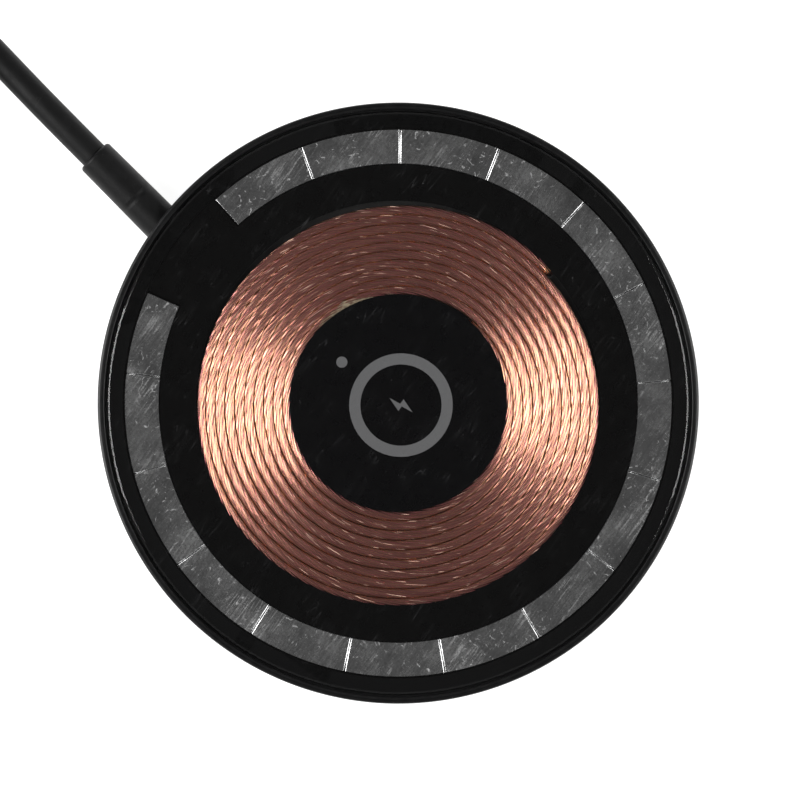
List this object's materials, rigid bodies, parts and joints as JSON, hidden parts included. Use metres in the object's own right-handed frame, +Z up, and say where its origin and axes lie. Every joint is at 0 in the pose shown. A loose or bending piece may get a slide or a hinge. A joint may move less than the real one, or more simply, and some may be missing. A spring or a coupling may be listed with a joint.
{
  "type": "wireless charging pad",
  "caption": "Round magnetic charging pad with a clear window over a flat copper coil and a magnet ring, and a fixed lead with a plug.",
  "frame": {"origin": "centre of the pad, on the surface that its foot rests on", "axes": "+Z up through the charging face, +Y towards the side where the lead comes out, between the ends of the magnet ring, +X to the right of it seen from above"},
  "size_m": [0.0748, 0.1268, 0.0122],
  "materials": {
    "black_case_plastic": "fine satin",
    "black_rubber": "matt",
    "black_adhesive": "flat film",
    "clear_plastic": "clear, lightly scratched",
    "black_carrier_plastic": "matt",
    "plated_magnet": "nickel plating with drag marks",
    "zinc_steel": "rolled strip",
    "enamelled_copper": "fine stranded wire",
    "dark_ferrite": "fired, matt",
    "shield_aluminium": "foil",
    "amber_film": "thin film",
    "clear_adhesive": "flat film",
    "foam": "closed-cell foam",
    "black_label": "satin film",
    "grey_ink": "printed",
    "board_laminate": "solder mask",
    "chip_resin": "moulded, matt",
    "ceramic": "fired ceramic",
    "choke_ferrite": "matt",
    "crystal_can": "plated can",
    "solder": "bright",
    "red_sleeve": "satin",
    "black_sleeve": "satin",
    "green_sleeve": "satin",
    "white_sleeve": "satin",
    "cable_jacket": "matt elastomer",
    "relief_elastomer": "matt elastomer",
    "tie_plastic": "satin",
    "plug_plastic": "matt",
    "plug_steel": "drawn, satin",
    "plug_liner": "satin",
    "contact_gold": "gold flash"
  },
  "bodies": {
    "root": {"lower_case": "black_case_plastic", "anti_slip_foot": "black_rubber", "foot_adhesive_ring": "black_adhesive", "clear_window": "clear_plastic", "window_adhesive_ring": "black_adhesive", "magnet_carrier": "black_carrier_plastic", "magnet_01": "plated_magnet", "magnet_02": "plated_magnet", "magnet_03": "plated_magnet", "magnet_04": "plated_magnet", "magnet_05": "plated_magnet", "magnet_06": "plated_magnet", "magnet_07": "plated_magnet", "magnet_08": "plated_magnet", "magnet_09": "plated_magnet", "magnet_10": "plated_magnet", "magnet_11": "plated_magnet", "magnet_12": "plated_magnet", "magnet_13": "plated_magnet", "magnet_14": "plated_magnet", "magnet_15": "plated_magnet", "magnet_16": "plated_magnet", "steel_backing_strip": "zinc_steel", "charging_coil": "enamelled_copper", "coil_adhesive_film": "clear_adhesive", "ferrite_disc": "dark_ferrite", "aluminium_shield": "shield_aluminium", "insulating_film": "amber_film", "centre_spacer": "foam", "centre_disc": "black_label", "printed_mark": "grey_ink", "circuit_board": "board_laminate", "controller_chip": "chip_resin", "supply_protocol_chip": "chip_resin", "power_bridge_chips": "chip_resin", "supply_inductor": "choke_ferrite", "clock_crystal": "crystal_can", "temperature_sensor": "ceramic", "resonant_capacitors": "ceramic", "bulk_capacitors": "ceramic", "small_passives": "ceramic", "coil_solder_joints": "solder", "core_solder_joints": "solder", "red_core": "red_sleeve", "black_core": "black_sleeve", "green_core": "green_sleeve", "white_core": "white_sleeve", "strain_relief": "relief_elastomer", "cable_tail": "cable_jacket", "cord_run": "cable_jacket", "cord_wound": "cable_jacket", "cord_ties": "tie_plastic", "plug_strain_relief": "relief_elastomer", "plug_overmould": "plug_plastic", "plug_shell": "plug_steel", "plug_insert": "plug_liner", "plug_contacts": "contact_gold"}
  },
  "joints": []
}
